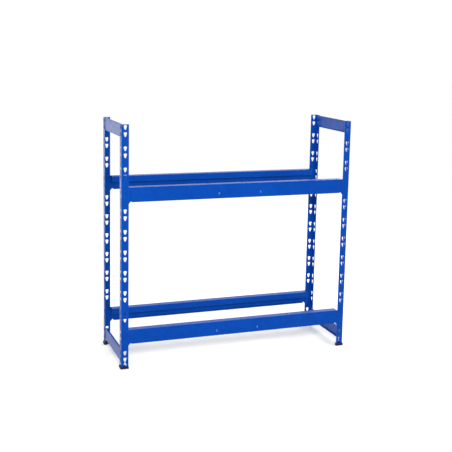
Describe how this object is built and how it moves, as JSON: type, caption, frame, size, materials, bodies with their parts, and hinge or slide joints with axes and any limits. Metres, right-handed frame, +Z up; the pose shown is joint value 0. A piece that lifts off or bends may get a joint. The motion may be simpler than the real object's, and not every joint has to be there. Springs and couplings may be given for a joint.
{
  "type": "tyre storage rack",
  "caption": "Two-tier boltless rack for standing tyres: punched angle posts, paired channel beams, side ties and plastic feet, hooked together by headed rivets in keyholes.",
  "frame": {"origin": "on the floor, under the middle of the rack", "axes": "+X along the beams to the right, +Y from the front to the back, +Z up"},
  "size_m": [1.38, 0.465, 1.3648],
  "materials": {
    "blue_powder_coat": "semi-gloss powder coat on cold-rolled steel sheet",
    "black_plastic": "moulded, matt",
    "painted_rivet": "powder coated with the beam"
  },
  "bodies": {
    "uprights": {"post_front_left": "blue_powder_coat", "post_front_right": "blue_powder_coat", "post_rear_left": "blue_powder_coat", "post_rear_right": "blue_powder_coat", "foot_front_left": "black_plastic", "foot_front_right": "black_plastic", "foot_rear_left": "black_plastic", "foot_rear_right": "black_plastic"},
    "beam_upper_front": {"beam_upper_front": "blue_powder_coat", "rivets_beam_upper_front": "painted_rivet"},
    "beam_upper_rear": {"beam_upper_rear": "blue_powder_coat", "rivets_beam_upper_rear": "painted_rivet"},
    "beam_lower_front": {"beam_lower_front": "blue_powder_coat", "rivets_beam_lower_front": "painted_rivet"},
    "beam_lower_rear": {"beam_lower_rear": "blue_powder_coat", "rivets_beam_lower_rear": "painted_rivet"},
    "tie_top_left": {"tie_top_left": "blue_powder_coat", "rivets_tie_top_left": "painted_rivet"},
    "tie_top_right": {"tie_top_right": "blue_powder_coat", "rivets_tie_top_right": "painted_rivet"},
    "tie_bottom_left": {"tie_bottom_left": "blue_powder_coat", "rivets_tie_bottom_left": "painted_rivet"},
    "tie_bottom_right": {"tie_bottom_right": "blue_powder_coat", "rivets_tie_bottom_right": "painted_rivet"}
  },
  "joints": [
    {"name": "lift_beam_upper_front", "type": "slide", "parent": "uprights", "child": "beam_upper_front", "axis": [0, 0, 1], "range_m": [0, 0.0074]},
    {"name": "lift_beam_upper_rear", "type": "slide", "parent": "uprights", "child": "beam_upper_rear", "axis": [0, 0, 1], "range_m": [0, 0.0074]},
    {"name": "lift_beam_lower_front", "type": "slide", "parent": "uprights", "child": "beam_lower_front", "axis": [0, 0, 1], "range_m": [0, 0.0074]},
    {"name": "lift_beam_lower_rear", "type": "slide", "parent": "uprights", "child": "beam_lower_rear", "axis": [0, 0, 1], "range_m": [0, 0.0074]},
    {"name": "lift_tie_top_left", "type": "slide", "parent": "uprights", "child": "tie_top_left", "axis": [0, 0, 1], "range_m": [0, 0.0074]},
    {"name": "lift_tie_top_right", "type": "slide", "parent": "uprights", "child": "tie_top_right", "axis": [0, 0, 1], "range_m": [0, 0.0074]},
    {"name": "lift_tie_bottom_left", "type": "slide", "parent": "uprights", "child": "tie_bottom_left", "axis": [0, 0, 1], "range_m": [0, 0.0074]},
    {"name": "lift_tie_bottom_right", "type": "slide", "parent": "uprights", "child": "tie_bottom_right", "axis": [0, 0, 1], "range_m": [0, 0.0074]}
  ]
}
